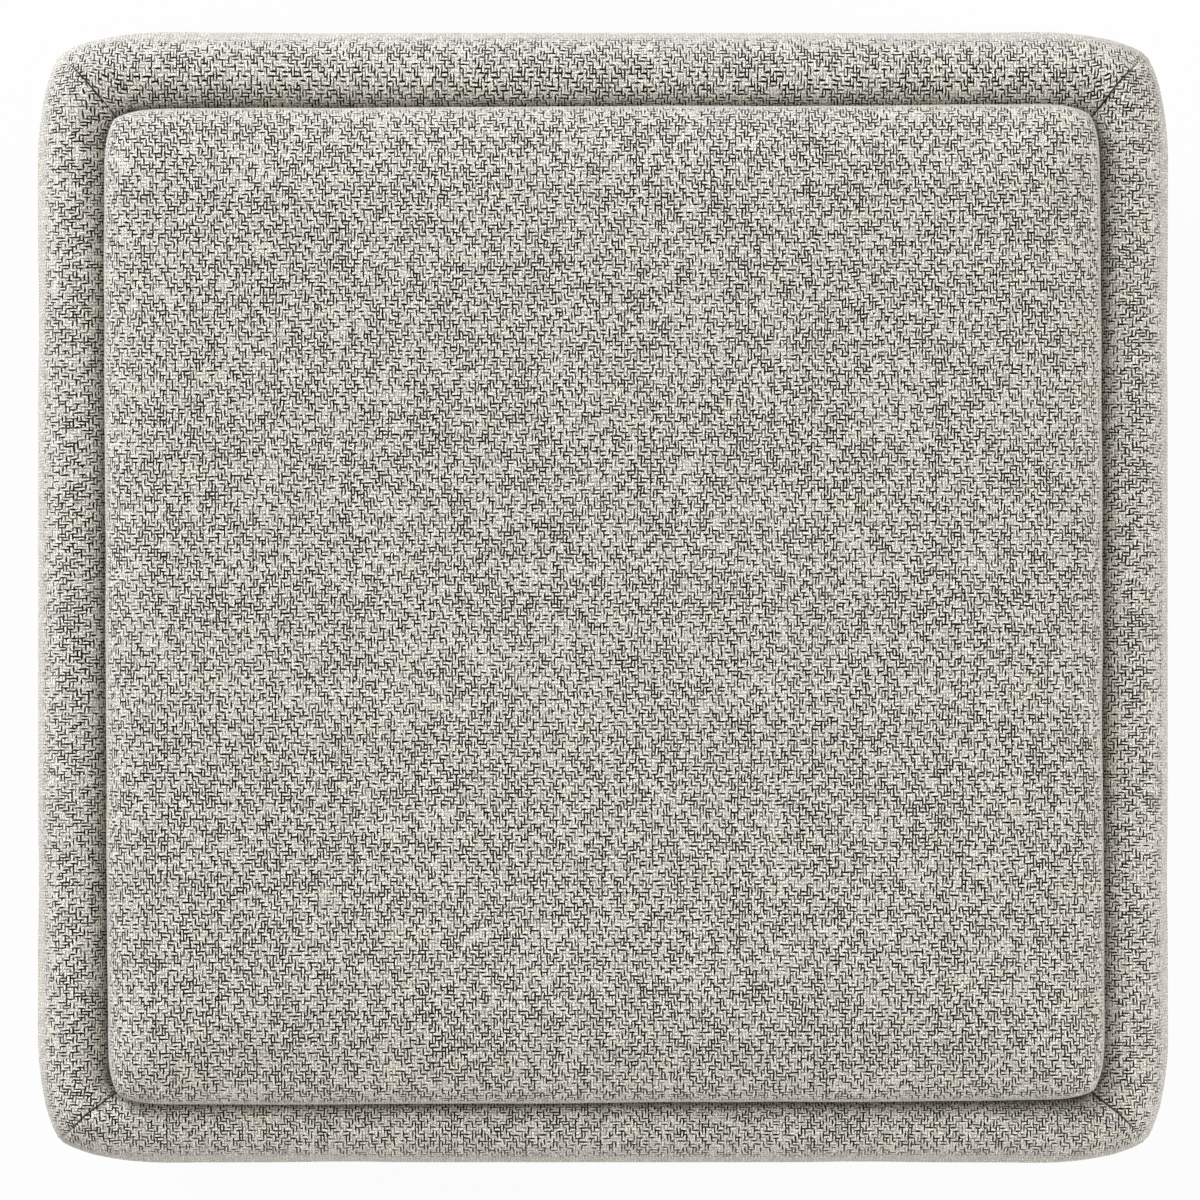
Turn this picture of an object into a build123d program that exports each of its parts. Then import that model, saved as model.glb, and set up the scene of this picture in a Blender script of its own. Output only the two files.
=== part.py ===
from build123d import *
import os

# A square storage ottoman: a padded box with a mitred rim, and a padded lid that lifts off.
# The origin is on the floor at the centre of the footprint, the front faces -Y and +Z is up.

# Overall sizes over the covers: left to right, front to back, and floor to the lid's crown
width = 457.0
depth = 457.0
height = 432.0

# Layers of the padded walls, from the outside in
cloth_thickness = 1.5
wall_foam_thickness = 9.0
wall_board_thickness = 12.0
inner_foam_thickness = 3.0

# Rim and edges of the covers
opening_radius = 11.0           # corners of the opening, seen from above
rim_crown_inset = 14.0          # from the outer face to the top of the rim's roll
bottom_edge_radius = 8.0
hem_end_radius = 3.0            # the hem stops this far from each corner's own axis

# Base
foot_height = 16.0
foot_top_radius = 20.0
foot_bottom_radius = 17.0
foot_edge_radius = 2.0
foot_margin = 6.0               # from the dust cover's step to the foot
foot_recess_radius = 5.5
foot_recess_depth = 8.0
floor_board_thickness = 12.0
dust_cover_thickness = 0.8
dust_cover_inset = 16.0
sheet_step_gap = 1.0            # between a hem's raw edge and the sheet that steps over it

# Posts, ledges and liner
post_size = 25.0
ledge_height = 22.0
liner_thickness = 1.0

# Lid
lid_gap = 2.5
lid_rise = 12.0                 # the lid's crown above the rim
lid_board_thickness = 12.0
lid_foam_thickness = 40.0
lid_corner_radius = 13.0
lid_edge_radius = 10.0
lid_crown = 4.0                 # from the middle of an edge to the crown
lid_draw_in = 2.0               # how far the cover is drawn in at the board
lid_swell_height = 10.0         # the foam swells to full width over this height
lid_hem_width = 38.0
lining_thickness = 0.8
lining_clearance = 4.0

# Fasteners
screw_head_radius = 4.0
screw_shank_radius = 2.0
screw_head_height = 2.5
screw_tip_height = 4.0
screw_sink = 0.5
screw_bite = 20.0               # thread in a post or in a wall's bottom edge
ledge_screw_bite = 8.0
foot_screw_cover = 2.0          # floor board left above a foot screw's tip
wall_screw_edge = 8.0           # from a post's inner face to its screws
wall_screw_end = 45.0           # from a post's ends to its first and last screw
wall_screw_stagger = 25.0       # screws from two walls pass at different heights
floor_screw_end = 80.0
ledge_screw_end = 45.0
screws_per_row = 3
staple_crown = 11.0
staple_wire = 0.6
staple_width = 1.2
staple_leg = 8.0
staple_row_end = 55.0           # from a sheet's corner to the first staple of its row
staples_per_row = 6

# Distances in from the outer face of the covers
board_outer = cloth_thickness + wall_foam_thickness
board_inner = board_outer + wall_board_thickness
rim_width = board_inner + inner_foam_thickness + cloth_thickness
liner_outer = board_inner + post_size
liner_inner = liner_outer + liner_thickness
corner_radius = opening_radius + rim_width
hem_inset = corner_radius - hem_end_radius
dust_step = hem_inset + sheet_step_gap
foot_inset = dust_step + dust_cover_thickness + foot_margin + foot_top_radius

# Levels above the floor
floor_under = foot_height + dust_cover_thickness
hem_under = floor_under - cloth_thickness
floor_top = floor_under + floor_board_thickness
lid_thickness = 2 * cloth_thickness + lid_board_thickness + lid_foam_thickness
lid_under = height - lid_thickness
lid_board_under = lid_under + cloth_thickness
lid_board_top = lid_board_under + lid_board_thickness
ledge_top = lid_under - liner_thickness
ledge_under = ledge_top - ledge_height
rim_top = height - lid_rise
rim_inner_radius = rim_width - rim_crown_inset
board_top = rim_top - max(rim_crown_inset, rim_inner_radius)

# Each side's pieces are made at the front and turned into place by quarter turns
SIDES = ["front", "right", "back", "left"]
CORNERS = [f"{row}_{column}" for row in ("front", "back") for column in ("left", "right")]

nodes = {}


def side_frame(side):
    """The turn that brings a front piece to this side, the side's length and the width across to it."""
    quarters = SIDES.index(side)
    turn = Rot(0, 0, 90 * quarters)
    if quarters % 2:
        return turn, depth, width
    return turn, width, depth


def corner_place(corner, inset):
    """The plan point that lies inset from both outer faces at this corner."""
    x = width / 2 - inset if corner.endswith("right") else inset - width / 2
    y = depth / 2 - inset if corner.startswith("back") else inset - depth / 2
    return x, y


def layer(sketch, bottom, top):
    """A flat outline carried from one level to another."""
    return extrude(Pos(0, 0, bottom) * sketch, top - bottom)


def plan_rectangle(inset, radius=0.0):
    """The footprint taken in by inset on every side, with its corners rounded."""
    if radius:
        return RectangleRounded(width - 2 * inset, depth - 2 * inset, radius)
    return Rectangle(width - 2 * inset, depth - 2 * inset)


def slab(x_span, y_span, z_span):
    """A block given by its low and high limits on each axis."""
    size = [high - low for low, high in (x_span, y_span, z_span)]
    middle = [(high + low) / 2 for low, high in (x_span, y_span, z_span)]
    return Pos(*middle) * Box(*size)


def spread(count, reach):
    """Evenly spaced places from -reach to +reach."""
    return [reach * (2 * i / (count - 1) - 1) for i in range(count)]


def wall_section(inset):
    """The padded wall's section, taken in by inset, measured out from the corner's axis and up."""
    outer = corner_radius - inset
    inner = opening_radius + inset
    top = rim_top - inset
    bottom = hem_under + inset
    crown = corner_radius - rim_crown_inset
    edge_radius = bottom_edge_radius - inset
    shoulder_out = rim_top - rim_crown_inset
    shoulder_in = rim_top - rim_inner_radius
    core = corner_radius - (board_outer + board_inner) / 2
    core_bottom = (floor_under + floor_top) / 2
    roll_in = RadiusArc((inner, shoulder_in), (crown, top), rim_inner_radius - inset)
    roll_out = RadiusArc((crown, top), (outer, shoulder_out), rim_crown_inset - inset)
    face_line = Line((outer, shoulder_out), (outer, bottom + edge_radius))
    edge = RadiusArc((outer, bottom + edge_radius), (outer - edge_radius, bottom), edge_radius)
    rest = Polyline(
        (outer - edge_radius, bottom),
        (hem_end_radius, bottom),
        (hem_end_radius, core_bottom),
        (core, core_bottom),
        (core, lid_under),
        (inner, lid_under),
        (inner, shoulder_in),
    )
    return make_face(roll_in + roll_out + face_line + edge + rest)


def section_box(inset_out, inset_in, bottom, top):
    """A block of the wall's section between two insets and two levels."""
    size = (inset_in - inset_out, top - bottom)
    centre = (corner_radius - (inset_out + inset_in) / 2, (bottom + top) / 2)
    return Pos(*centre) * Rectangle(*size)


def wall_piece(section, along, across):
    """A section carried along one side, with half of the rounded corner at each end."""
    reach = across / 2 - corner_radius
    run = along / 2 - corner_radius
    plane = Plane(origin=(0, -reach, 0), x_dir=(0, -1, 0), z_dir=(-1, 0, 0))
    face = plane * section
    piece = extrude(face, run, both=True)
    for end in (-1, 1):
        axis = Axis((end * run, -reach, 0), (0, 0, 1))
        piece += revolve(Pos(end * run, 0, 0) * face, axis, end * 45)
    return piece


def mitred_strip(along, across, inset_out, inset_in, bottom, top):
    """A strip along one side between two insets, its ends mitred into the next sides."""
    outline = Polyline(
        (inset_out - along / 2, inset_out - across / 2),
        (along / 2 - inset_out, inset_out - across / 2),
        (along / 2 - inset_in, inset_in - across / 2),
        (inset_in - along / 2, inset_in - across / 2),
        close=True,
    )
    return layer(make_face(outline), bottom, top)


def screw(length):
    """A countersunk wood screw, head up, its head sunk under the face at Z = 0."""
    neck = -screw_sink - screw_head_height
    tip = -screw_sink - length
    outline = Polyline(
        (0, -screw_sink),
        (screw_head_radius, -screw_sink),
        (screw_shank_radius, neck),
        (screw_shank_radius, tip + screw_tip_height),
        (0, tip),
        close=True,
    )
    return revolve(Plane.XZ * make_face(outline), Axis.Z)


def screw_hole(length):
    """The hole that a screw fills, with the countersink left open above its head."""
    sink = Pos(0, 0, -screw_sink / 2) * Cylinder(screw_head_radius, screw_sink)
    return screw(length) + sink


def staple():
    """A staple with its crown lying on the face at Z = 0 and its legs driven down."""
    half_crown = staple_crown / 2
    half_width = staple_width / 2
    block = slab((-half_crown, half_crown), (-half_width, half_width), (-staple_leg, staple_wire))
    half_gap = half_crown - staple_wire
    gap = slab((-half_gap, half_gap), (-half_width, half_width), (-staple_leg, 0))
    return block - gap


def stepped_sheet(outer, inner, low, high, thickness):
    """A sheet that lies under a hem at its edge and steps up to the board inside the hem."""
    well = offset(inner, -thickness)
    edge = layer(outer - well, low - thickness, low)
    riser = layer(inner - well, low - thickness, high)
    return edge + riser + layer(inner, high - thickness, high)


# Places of the fasteners: each with its Z pointing out of the face that it is driven into
wall_screw_places = []
floor_screw_places = []
ledge_screw_places = []
hem_staple_places = []
liner_staple_places = []
wall_screw_span = ledge_top - floor_top - 2 * wall_screw_end - wall_screw_stagger
for side in SIDES:
    turn, along, across = side_frame(side)
    first_height = floor_top + wall_screw_end
    if side in ("left", "right"):
        first_height += wall_screw_stagger
    screw_x = along / 2 - liner_outer + wall_screw_edge
    for x in (-screw_x, screw_x):
        for i in range(screws_per_row):
            z = first_height + wall_screw_span * i / (screws_per_row - 1)
            place = Plane((x, board_outer - across / 2, z), z_dir=(0, -1, 0))
            wall_screw_places.append(turn * place.location)
    for x in spread(screws_per_row, along / 2 - floor_screw_end):
        y = (board_outer + board_inner - across) / 2
        place = Plane((x, y, floor_under), z_dir=(0, 0, -1))
        floor_screw_places.append(turn * place.location)
    for x in spread(screws_per_row, along / 2 - liner_outer - ledge_screw_end):
        z = (ledge_under + ledge_top) / 2
        place = Plane((x, liner_outer - across / 2, z), z_dir=(0, 1, 0))
        ledge_screw_places.append(turn * place.location)
    for x in spread(staples_per_row, along / 2 - dust_cover_inset - staple_row_end):
        y = (dust_cover_inset + hem_inset - across) / 2
        place = Plane((x, y, hem_under - dust_cover_thickness), x_dir=(1, 0, 0), z_dir=(0, 0, -1))
        hem_staple_places.append(turn * place.location)
    for x in spread(staples_per_row, along / 2 - liner_outer - staple_row_end):
        y = (rim_width + liner_inner - across) / 2
        place = Plane((x, y, lid_under - staple_wire), x_dir=(1, 0, 0), z_dir=(0, 0, 1))
        liner_staple_places.append(turn * place.location)

foot_places = {corner: corner_place(corner, foot_inset) for corner in CORNERS}
foot_screw_places = [Plane((x, y, foot_recess_depth), z_dir=(0, 0, -1)).location
                     for x, y in foot_places.values()]

wall_screw_length = wall_board_thickness + screw_bite
floor_screw_length = floor_board_thickness + screw_bite
ledge_screw_length = post_size + ledge_screw_bite
foot_screw_length = floor_top - foot_screw_cover - foot_recess_depth - screw_sink

wall_holes = [place * screw_hole(wall_screw_length) for place in wall_screw_places]
floor_holes = [place * screw_hole(floor_screw_length) for place in floor_screw_places]
ledge_holes = [place * screw_hole(ledge_screw_length) for place in ledge_screw_places]
foot_holes = [place * screw_hole(foot_screw_length) for place in foot_screw_places]

# Wall boards: plywood, butted at the corners and rounded there together
frame_radius = corner_radius - board_outer
frame_outline = plan_rectangle(board_outer, frame_radius)
frame_ring = layer(frame_outline - plan_rectangle(board_inner), floor_top, board_top)
for side in SIDES:
    turn, along, across = side_frame(side)
    end_inset = board_outer if side in ("front", "back") else board_inner
    strip = slab(
        (end_inset - along / 2, along / 2 - end_inset),
        (board_outer - across / 2, board_inner - across / 2),
        (floor_top, board_top),
    )
    board = frame_ring & (turn * strip)
    nodes[f"{side}_board"] = board - wall_holes - floor_holes - ledge_holes

# Floor board: closes the box from below and carries the walls and the feet
nodes["floor_board"] = layer(frame_outline, floor_under, floor_top) - floor_holes - foot_holes

# Corner posts: the walls are screwed to them
post_place = (board_inner + liner_outer) / 2
for corner in CORNERS:
    post = layer(Rectangle(post_size, post_size), floor_top, ledge_top)
    post = Pos(*corner_place(corner, post_place)) * post
    nodes[f"{corner}_post"] = post - wall_holes

# Ledges: battens between the posts that carry the lid
for side in SIDES:
    turn, along, across = side_frame(side)
    ledge = slab(
        (liner_outer - along / 2, along / 2 - liner_outer),
        (board_inner - across / 2, liner_outer - across / 2),
        (ledge_under, ledge_top),
    )
    nodes[f"{side}_ledge"] = turn * ledge - ledge_holes

# Padding and cover of each side: a flat foam sheet, a foam roll over the rim, and the cloth
cover_section = wall_section(0) - wall_section(cloth_thickness)
padding_section = wall_section(cloth_thickness)
sheet_zone = section_box(0, board_outer, hem_under, board_top)
roll_zone = section_box(0, rim_width, board_top, rim_top)
roll_zone += section_box(board_inner, rim_width, lid_under, board_top)
for side in SIDES:
    turn, along, across = side_frame(side)
    nodes[f"{side}_wall_foam"] = turn * wall_piece(padding_section & sheet_zone, along, across)
    nodes[f"{side}_rim_foam"] = turn * wall_piece(padding_section & roll_zone, along, across)
    nodes[f"{side}_cover"] = turn * wall_piece(cover_section, along, across)

# Liner: a bag of non-woven cloth sewn from five panels, hung over the ledges
for side in SIDES:
    turn, along, across = side_frame(side)
    flange = mitred_strip(along, across, board_inner, liner_inner, ledge_top, lid_under)
    panel = mitred_strip(along, across, liner_outer, liner_inner, floor_top + liner_thickness, ledge_top)
    nodes[f"{side}_liner"] = turn * (flange + panel)
nodes["floor_liner"] = layer(plan_rectangle(liner_outer), floor_top, floor_top + liner_thickness)

# Dust cover: thin cloth over the hems and the underside
dust_cover = stepped_sheet(
    plan_rectangle(dust_cover_inset, corner_radius - dust_cover_inset),
    plan_rectangle(dust_step),
    hem_under,
    floor_under,
    dust_cover_thickness,
)
nodes["dust_cover"] = dust_cover - foot_holes

# Feet: round glides, each with a recess for its screw
foot_outline = Polyline(
    (0, 0),
    (foot_bottom_radius, 0),
    (foot_top_radius, foot_height),
    (0, foot_height),
    close=True,
)
foot_blank = revolve(Plane.XZ * make_face(foot_outline), Axis.Z)
foot_blank = fillet(foot_blank.edges().filter_by(GeomType.CIRCLE).sort_by(Axis.Z)[0], foot_edge_radius)
foot_recess = layer(Circle(foot_recess_radius), 0, foot_recess_depth)
for corner, (x, y) in foot_places.items():
    nodes[f"{corner}_foot"] = Pos(x, y, 0) * (foot_blank - foot_recess) - foot_holes

# Fasteners of the box: like ones share a node
nodes["wall_screws"] = Compound([place * screw(wall_screw_length) for place in wall_screw_places])
nodes["floor_screws"] = Compound([place * screw(floor_screw_length) for place in floor_screw_places])
nodes["ledge_screws"] = Compound([place * screw(ledge_screw_length) for place in ledge_screw_places])
nodes["foot_screws"] = Compound([place * screw(foot_screw_length) for place in foot_screw_places])
nodes["hem_staples"] = Compound([place * staple() for place in hem_staple_places])
nodes["liner_staples"] = Compound([place * staple() for place in liner_staple_places])

# Lid: a board with a thick foam pad, wrapped in cloth that is drawn in at the board
lid_inset = rim_width + lid_gap
lid_half = max(width, depth) / 2 - lid_inset
crown_radius = (lid_half ** 2 + lid_crown ** 2) / (2 * lid_crown)


def lid_outline(inset):
    """The lid's outline from above, taken in by inset."""
    return plan_rectangle(lid_inset + inset, lid_corner_radius - inset)


def lid_block(inset):
    """The lid's outer form, taken in by inset: drawn in below, swollen above, crowned on top."""
    drawn = lid_outline(inset + lid_draw_in)
    swell_top = lid_board_top + lid_swell_height
    block = layer(drawn, lid_under + inset, lid_board_top)
    block += loft([Pos(0, 0, lid_board_top) * drawn, Pos(0, 0, swell_top) * lid_outline(inset)], ruled=True)
    block += layer(lid_outline(inset), swell_top, height)
    dome = Rot(90, 0, 0) * Sphere(crown_radius - inset)
    block &= Pos(0, 0, height - crown_radius) * dome
    roll = min(lid_edge_radius, lid_corner_radius - lid_draw_in) - inset
    top_face = block.faces().sort_by(Axis.Z)[-1]
    return fillet(top_face.edges(), roll)


lid_core = lid_block(cloth_thickness)
lid_hem_window = layer(plan_rectangle(lid_inset + lid_hem_width), lid_under, lid_board_under)
lid_board_zone = layer(plan_rectangle(0), lid_under, lid_board_top)
nodes["lid_board"] = lid_core & lid_board_zone
nodes["lid_foam"] = lid_core - lid_board_zone
nodes["lid_cover"] = lid_block(0) - lid_core - lid_hem_window
lining_inset = liner_inner + lining_clearance
nodes["lid_lining"] = stepped_sheet(
    plan_rectangle(lining_inset),
    plan_rectangle(lid_inset + lid_hem_width + sheet_step_gap),
    lid_under,
    lid_board_under,
    lining_thickness,
)
lid_staple_places = []
for side in SIDES:
    turn, along, across = side_frame(side)
    for x in spread(staples_per_row, along / 2 - lining_inset - staple_row_end):
        y = (lining_inset + lid_inset + lid_hem_width - across) / 2
        place = Plane((x, y, lid_under - lining_thickness), x_dir=(1, 0, 0), z_dir=(0, 0, -1))
        lid_staple_places.append(turn * place.location)
nodes["lid_staples"] = Compound([place * staple() for place in lid_staple_places])

os.makedirs("parts", exist_ok=True)
for name, shape in nodes.items():
    export_step(shape, f"parts/{name}.step")
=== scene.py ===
import math

import bmesh
import bpy
from mathutils import Matrix, Vector, noise


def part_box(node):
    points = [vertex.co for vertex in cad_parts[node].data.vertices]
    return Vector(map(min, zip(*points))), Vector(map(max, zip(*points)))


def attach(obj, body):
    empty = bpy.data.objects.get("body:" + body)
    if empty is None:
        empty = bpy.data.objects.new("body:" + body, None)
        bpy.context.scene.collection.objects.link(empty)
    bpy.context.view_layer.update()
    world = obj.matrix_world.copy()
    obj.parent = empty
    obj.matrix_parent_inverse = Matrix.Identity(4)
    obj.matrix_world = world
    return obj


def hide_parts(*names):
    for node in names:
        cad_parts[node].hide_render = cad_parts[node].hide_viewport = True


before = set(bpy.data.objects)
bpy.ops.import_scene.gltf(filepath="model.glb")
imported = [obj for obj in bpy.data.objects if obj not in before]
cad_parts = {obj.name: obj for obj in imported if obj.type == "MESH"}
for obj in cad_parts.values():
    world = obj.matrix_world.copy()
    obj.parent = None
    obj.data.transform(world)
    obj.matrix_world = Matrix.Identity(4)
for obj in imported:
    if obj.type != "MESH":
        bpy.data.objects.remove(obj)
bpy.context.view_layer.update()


# Boards: the four walls and the floor are birch plywood, butted and screwed together.
# Their plies run through the thickness, so the cut edges show them as light and dark lines.

def start_material(name, plain):
    """A material with one Principled shader, whose sockets that are the same all over are set here."""
    material = bpy.data.materials.new(name)
    material.use_nodes = True
    shader = material.node_tree.nodes["Principled BSDF"]
    for socket, value in plain.items():
        shader.inputs[socket].default_value = value
    return material, material.node_tree, shader


def put(tree, kind, inputs, **settings):
    """Adds a node. An input that is a socket is linked, and any other is set as a value."""
    made = tree.nodes.new(kind)
    for name, value in settings.items():
        setattr(made, name, value)
    for key, value in inputs.items():
        if isinstance(value, bpy.types.NodeSocket):
            tree.links.new(value, made.inputs[key])
        else:
            made.inputs[key].default_value = value
    return made


def calc(tree, operation, *values):
    """One step of arithmetic on sockets or numbers."""
    return put(tree, "ShaderNodeMath", dict(enumerate(values)), operation=operation).outputs[0]


def blend(tree, share, first, second):
    """Two colours mixed by a share. The mix node takes its colours in inputs 6 and 7."""
    return put(tree, "ShaderNodeMix", {0: share, 6: first, 7: second}, data_type="RGBA").outputs[2]


def choose(tree, share, first, second):
    """Two numbers mixed by a share. The mix node takes its numbers in inputs 2 and 3."""
    return put(tree, "ShaderNodeMix", {0: share, 2: first, 3: second}).outputs[0]


def ramp(tree, value, start, end, low, high, kind="LINEAR"):
    """A value carried from one range to another, and held at both ends."""
    inputs = {"Value": value, "From Min": start, "From Max": end, "To Min": low, "To Max": high}
    return put(tree, "ShaderNodeMapRange", inputs, interpolation_type=kind).outputs[0]


def speckle(tree, place, scale, detail):
    """Smooth noise over a place."""
    return put(tree, "ShaderNodeTexNoise", {"Vector": place, "Scale": scale, "Detail": detail})


def emboss(tree, shader, strength, depth, height):
    """Raises a finish by a height, as a bump."""
    inputs = {"Strength": strength, "Distance": depth, "Height": height}
    bump = put(tree, "ShaderNodeBump", inputs)
    tree.links.new(bump.outputs[0], shader.inputs["Normal"])


def coat(tree, shader, colour, rough):
    """Links a finish's colour and roughness."""
    tree.links.new(colour, shader.inputs["Base Color"])
    tree.links.new(rough, shader.inputs["Roughness"])


def start_group(name, sockets_in, sockets_out):
    """An empty shader node group with named sockets."""
    group = bpy.data.node_groups.new(name, "ShaderNodeTree")
    for socket, kind in sockets_in.items():
        group.interface.new_socket(socket, in_out="INPUT", socket_type=kind)
    for socket, kind in sockets_out.items():
        group.interface.new_socket(socket, in_out="OUTPUT", socket_type=kind)
    return group, group.nodes.new("NodeGroupInput"), group.nodes.new("NodeGroupOutput")


def give(group, out, results):
    """Links what a group makes to its outputs."""
    for name, result in results.items():
        group.links.new(result, out.inputs[name])


def use_group(tree, group, inputs):
    """Places a node group in a material or in another group."""
    return put(tree, "ShaderNodeGroup", inputs, node_tree=group)


def build_wood_grain():
    """Long fibres and growth lines, with the grain along the coordinate's Z."""
    group, given, out = start_group(
        "wood_grain",
        {"Vector": "NodeSocketVector"},
        {"Lines": "NodeSocketFloat", "Pores": "NodeSocketFloat"},
    )
    drawn = put(group, "ShaderNodeMapping", {"Vector": given.outputs[0], "Scale": (1, 1, 0.04)}).outputs[0]
    lines = put(group, "ShaderNodeTexNoise", {"Vector": drawn, "Scale": 240, "Detail": 4, "Distortion": 0.6})
    pores = speckle(group, drawn, 1400, 2)
    give(group, out, {"Lines": lines.outputs["Fac"], "Pores": pores.outputs["Fac"]})
    return group


wood_grain = build_wood_grain()
BIRCH_PALE = (0.62, 0.46, 0.29, 1)
BIRCH_DARK = (0.46, 0.31, 0.17, 1)
BIRCH_CORE = (0.34, 0.21, 0.11, 1)
PLY = 0.0017


def plywood(thin_axis):
    """Birch plywood whose plies are stacked along one axis."""
    material, tree, shader = start_material("plywood_" + thin_axis.lower(), {"Specular IOR Level": 0.3})
    place = put(tree, "ShaderNodeTexCoord", {}).outputs["Object"]
    parts = put(tree, "ShaderNodeSeparateXYZ", {0: place})
    grain = use_group(tree, wood_grain, {"Vector": place})
    layer = calc(tree, "FRACT", calc(tree, "DIVIDE", parts.outputs[thin_axis], 2 * PLY))
    cross = calc(tree, "GREATER_THAN", layer, 0.5)
    face = blend(tree, grain.outputs["Lines"], BIRCH_PALE, BIRCH_DARK)
    colour = blend(tree, calc(tree, "MULTIPLY", cross, 0.6), face, BIRCH_CORE)
    coat(tree, shader, colour, calc(tree, "MULTIPLY_ADD", grain.outputs["Pores"], 0.25, 0.5))
    emboss(tree, shader, 0.3, 0.0003, grain.outputs["Pores"])
    return material


def finish_nodes(names, material):
    """Gives CAD nodes their finish."""
    for name in names:
        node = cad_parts[name]
        node.data.materials.clear()
        node.data.materials.append(material)


finish_nodes(["front_board", "back_board"], plywood("Y"))
finish_nodes(["left_board", "right_board"], plywood("X"))
flat_plywood = plywood("Z")
finish_nodes(["floor_board"], flat_plywood)


# Posts and ledges: sawn pine battens, the posts upright in the corners and the ledges between them.
# The walls are screwed to the posts, and the lid rests on the ledges.

PINE_PALE = (0.66, 0.47, 0.26, 1)
PINE_LINE = (0.45, 0.25, 0.10, 1)
PINE_TURNS = {"X": (0, math.pi / 2, 0), "Y": (math.pi / 2, 0, 0), "Z": (0, 0, 0)}


def pine(long_axis):
    """Sawn pine with its grain along one axis."""
    material, tree, shader = start_material("pine_" + long_axis.lower(), {"Specular IOR Level": 0.3})
    place = put(tree, "ShaderNodeTexCoord", {}).outputs["Object"]
    turned = put(tree, "ShaderNodeMapping", {"Vector": place, "Rotation": PINE_TURNS[long_axis]}).outputs[0]
    grain = use_group(tree, wood_grain, {"Vector": turned})
    rings = calc(tree, "SMOOTH_MIN", calc(tree, "PINGPONG", grain.outputs["Lines"], 0.12), 0.1, 0.05)
    colour = blend(tree, calc(tree, "MULTIPLY", rings, 6.0), PINE_PALE, PINE_LINE)
    coat(tree, shader, colour, calc(tree, "MULTIPLY_ADD", grain.outputs["Pores"], 0.3, 0.5))
    emboss(tree, shader, 0.4, 0.0004, grain.outputs["Pores"])
    return material


CORNERS = ["front_left", "front_right", "back_left", "back_right"]
finish_nodes([corner + "_post" for corner in CORNERS], pine("Z"))
finish_nodes(["front_ledge", "back_ledge"], pine("X"))
finish_nodes(["left_ledge", "right_ledge"], pine("Y"))


# Screws and staples: zinc-plated steel, driven through the boards, battens and cloth.
# The plating is dull and a little cloudy.

def zinc_plate():
    """Dull zinc plating with cloudy patches."""
    material, tree, shader = start_material("zinc_plate", {"Metallic": 1.0})
    place = put(tree, "ShaderNodeTexCoord", {}).outputs["Object"]
    cloud = speckle(tree, place, 900, 3).outputs["Fac"]
    colour = blend(tree, cloud, (0.48, 0.48, 0.47, 1), (0.66, 0.65, 0.61, 1))
    coat(tree, shader, colour, calc(tree, "MULTIPLY_ADD", cloud, 0.3, 0.25))
    return material


SCREWS = ["wall_screws", "floor_screws", "ledge_screws", "foot_screws"]
STAPLES = ["hem_staples", "liner_staples", "lid_staples"]
finish_nodes(SCREWS + STAPLES, zinc_plate())


# Padded sides: on each side a foam sheet and a foam roll over the rim, wrapped in one panel of tweed.
# The panels are sewn to each other at the mitred corners, and stapled under the floor and inside the rim.

front_low, front_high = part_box("front_cover")
board_low, board_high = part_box("front_board")
half_width = -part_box("left_cover")[0].x
half_depth = -front_low.y
hem_under = front_low.z
rim_top = front_high.z
floor_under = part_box("floor_board")[0].z
lid_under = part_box("lid_cover")[0].z
lid_board_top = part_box("lid_board")[1].z
board_outer = half_depth + board_low.y
board_inner = half_depth + board_high.y
board_top = board_high.z
rim_crown_inset = rim_top - board_top
corner_radius = (half_width - front_high.x) / (1 - math.cos(math.radians(45)))
rim_width = 0.027
hem_inset = 0.035
bottom_roll = 0.008
CLOTH_STEP = 0.0055
CORNER_RINGS = 7
SEAM_ANGLE = math.radians(2.2)
SEAM_DEPTH = 0.0013
SEAM_PULLS = (1, 0.3)
LOOSEST_PULL = 0.15
SEAM_GAPS = (-0.00002, 0.0008, 0.0016)
SEAM_SHARES = (1, 0.08, 0.15)
SEAM_FAINTEST = 0.2
SEAM_FADE = 1.1
SIDE_SWELL = 0.0012
CORNER_FULLNESS = 0.105
CORNER_TUCK = 0.0012
LEG_BEND = 0.012
LEG_HELD = 0.040
HEM_HELD = 0.030
BOTTOM_STEPS = 5
RIM_STEPS = 8
LID_SHIFT = Vector((0.0004, -0.0029, 0))
SHIFT_RISE = 0.010
RIM_PRESS = 0.001
PANEL_STEP = 0.5307
WALL_LIT_FUZZ = 0.45
LIT_FUZZ_BAND = 0.030
STEEPEST = 0.35
SIDES = ["front", "right", "back", "left"]


def ease(share):
    """A smooth step from nought to one."""
    share = min(1, max(0, share))
    return share * share * (3 - 2 * share)


def move_pen(bm, pen, **way):
    """Carries the pen's vertex along in steps, leaving an edge behind each, and gives back where it ends."""
    drawn = bmesh.ops.spin(bm, geom=[pen], axis=(1, 0, 0), **way)
    return next(item for item in drawn["geom_last"] if isinstance(item, bmesh.types.BMVert))


def draw_line(bm, pen, goal, step=CLOTH_STEP):
    """Draws straight to a point, in even steps."""
    way = goal - pen.co
    steps = max(1, round(way.length / step))
    return move_pen(bm, pen, cent=pen.co, dvec=way / steps, angle=0, steps=steps)


def draw_roll(bm, pen, centre, steps):
    """Draws a quarter turn round a centre, towards the inside of the box."""
    return move_pen(bm, pen, cent=centre, angle=-math.pi / 2, steps=steps)


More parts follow.
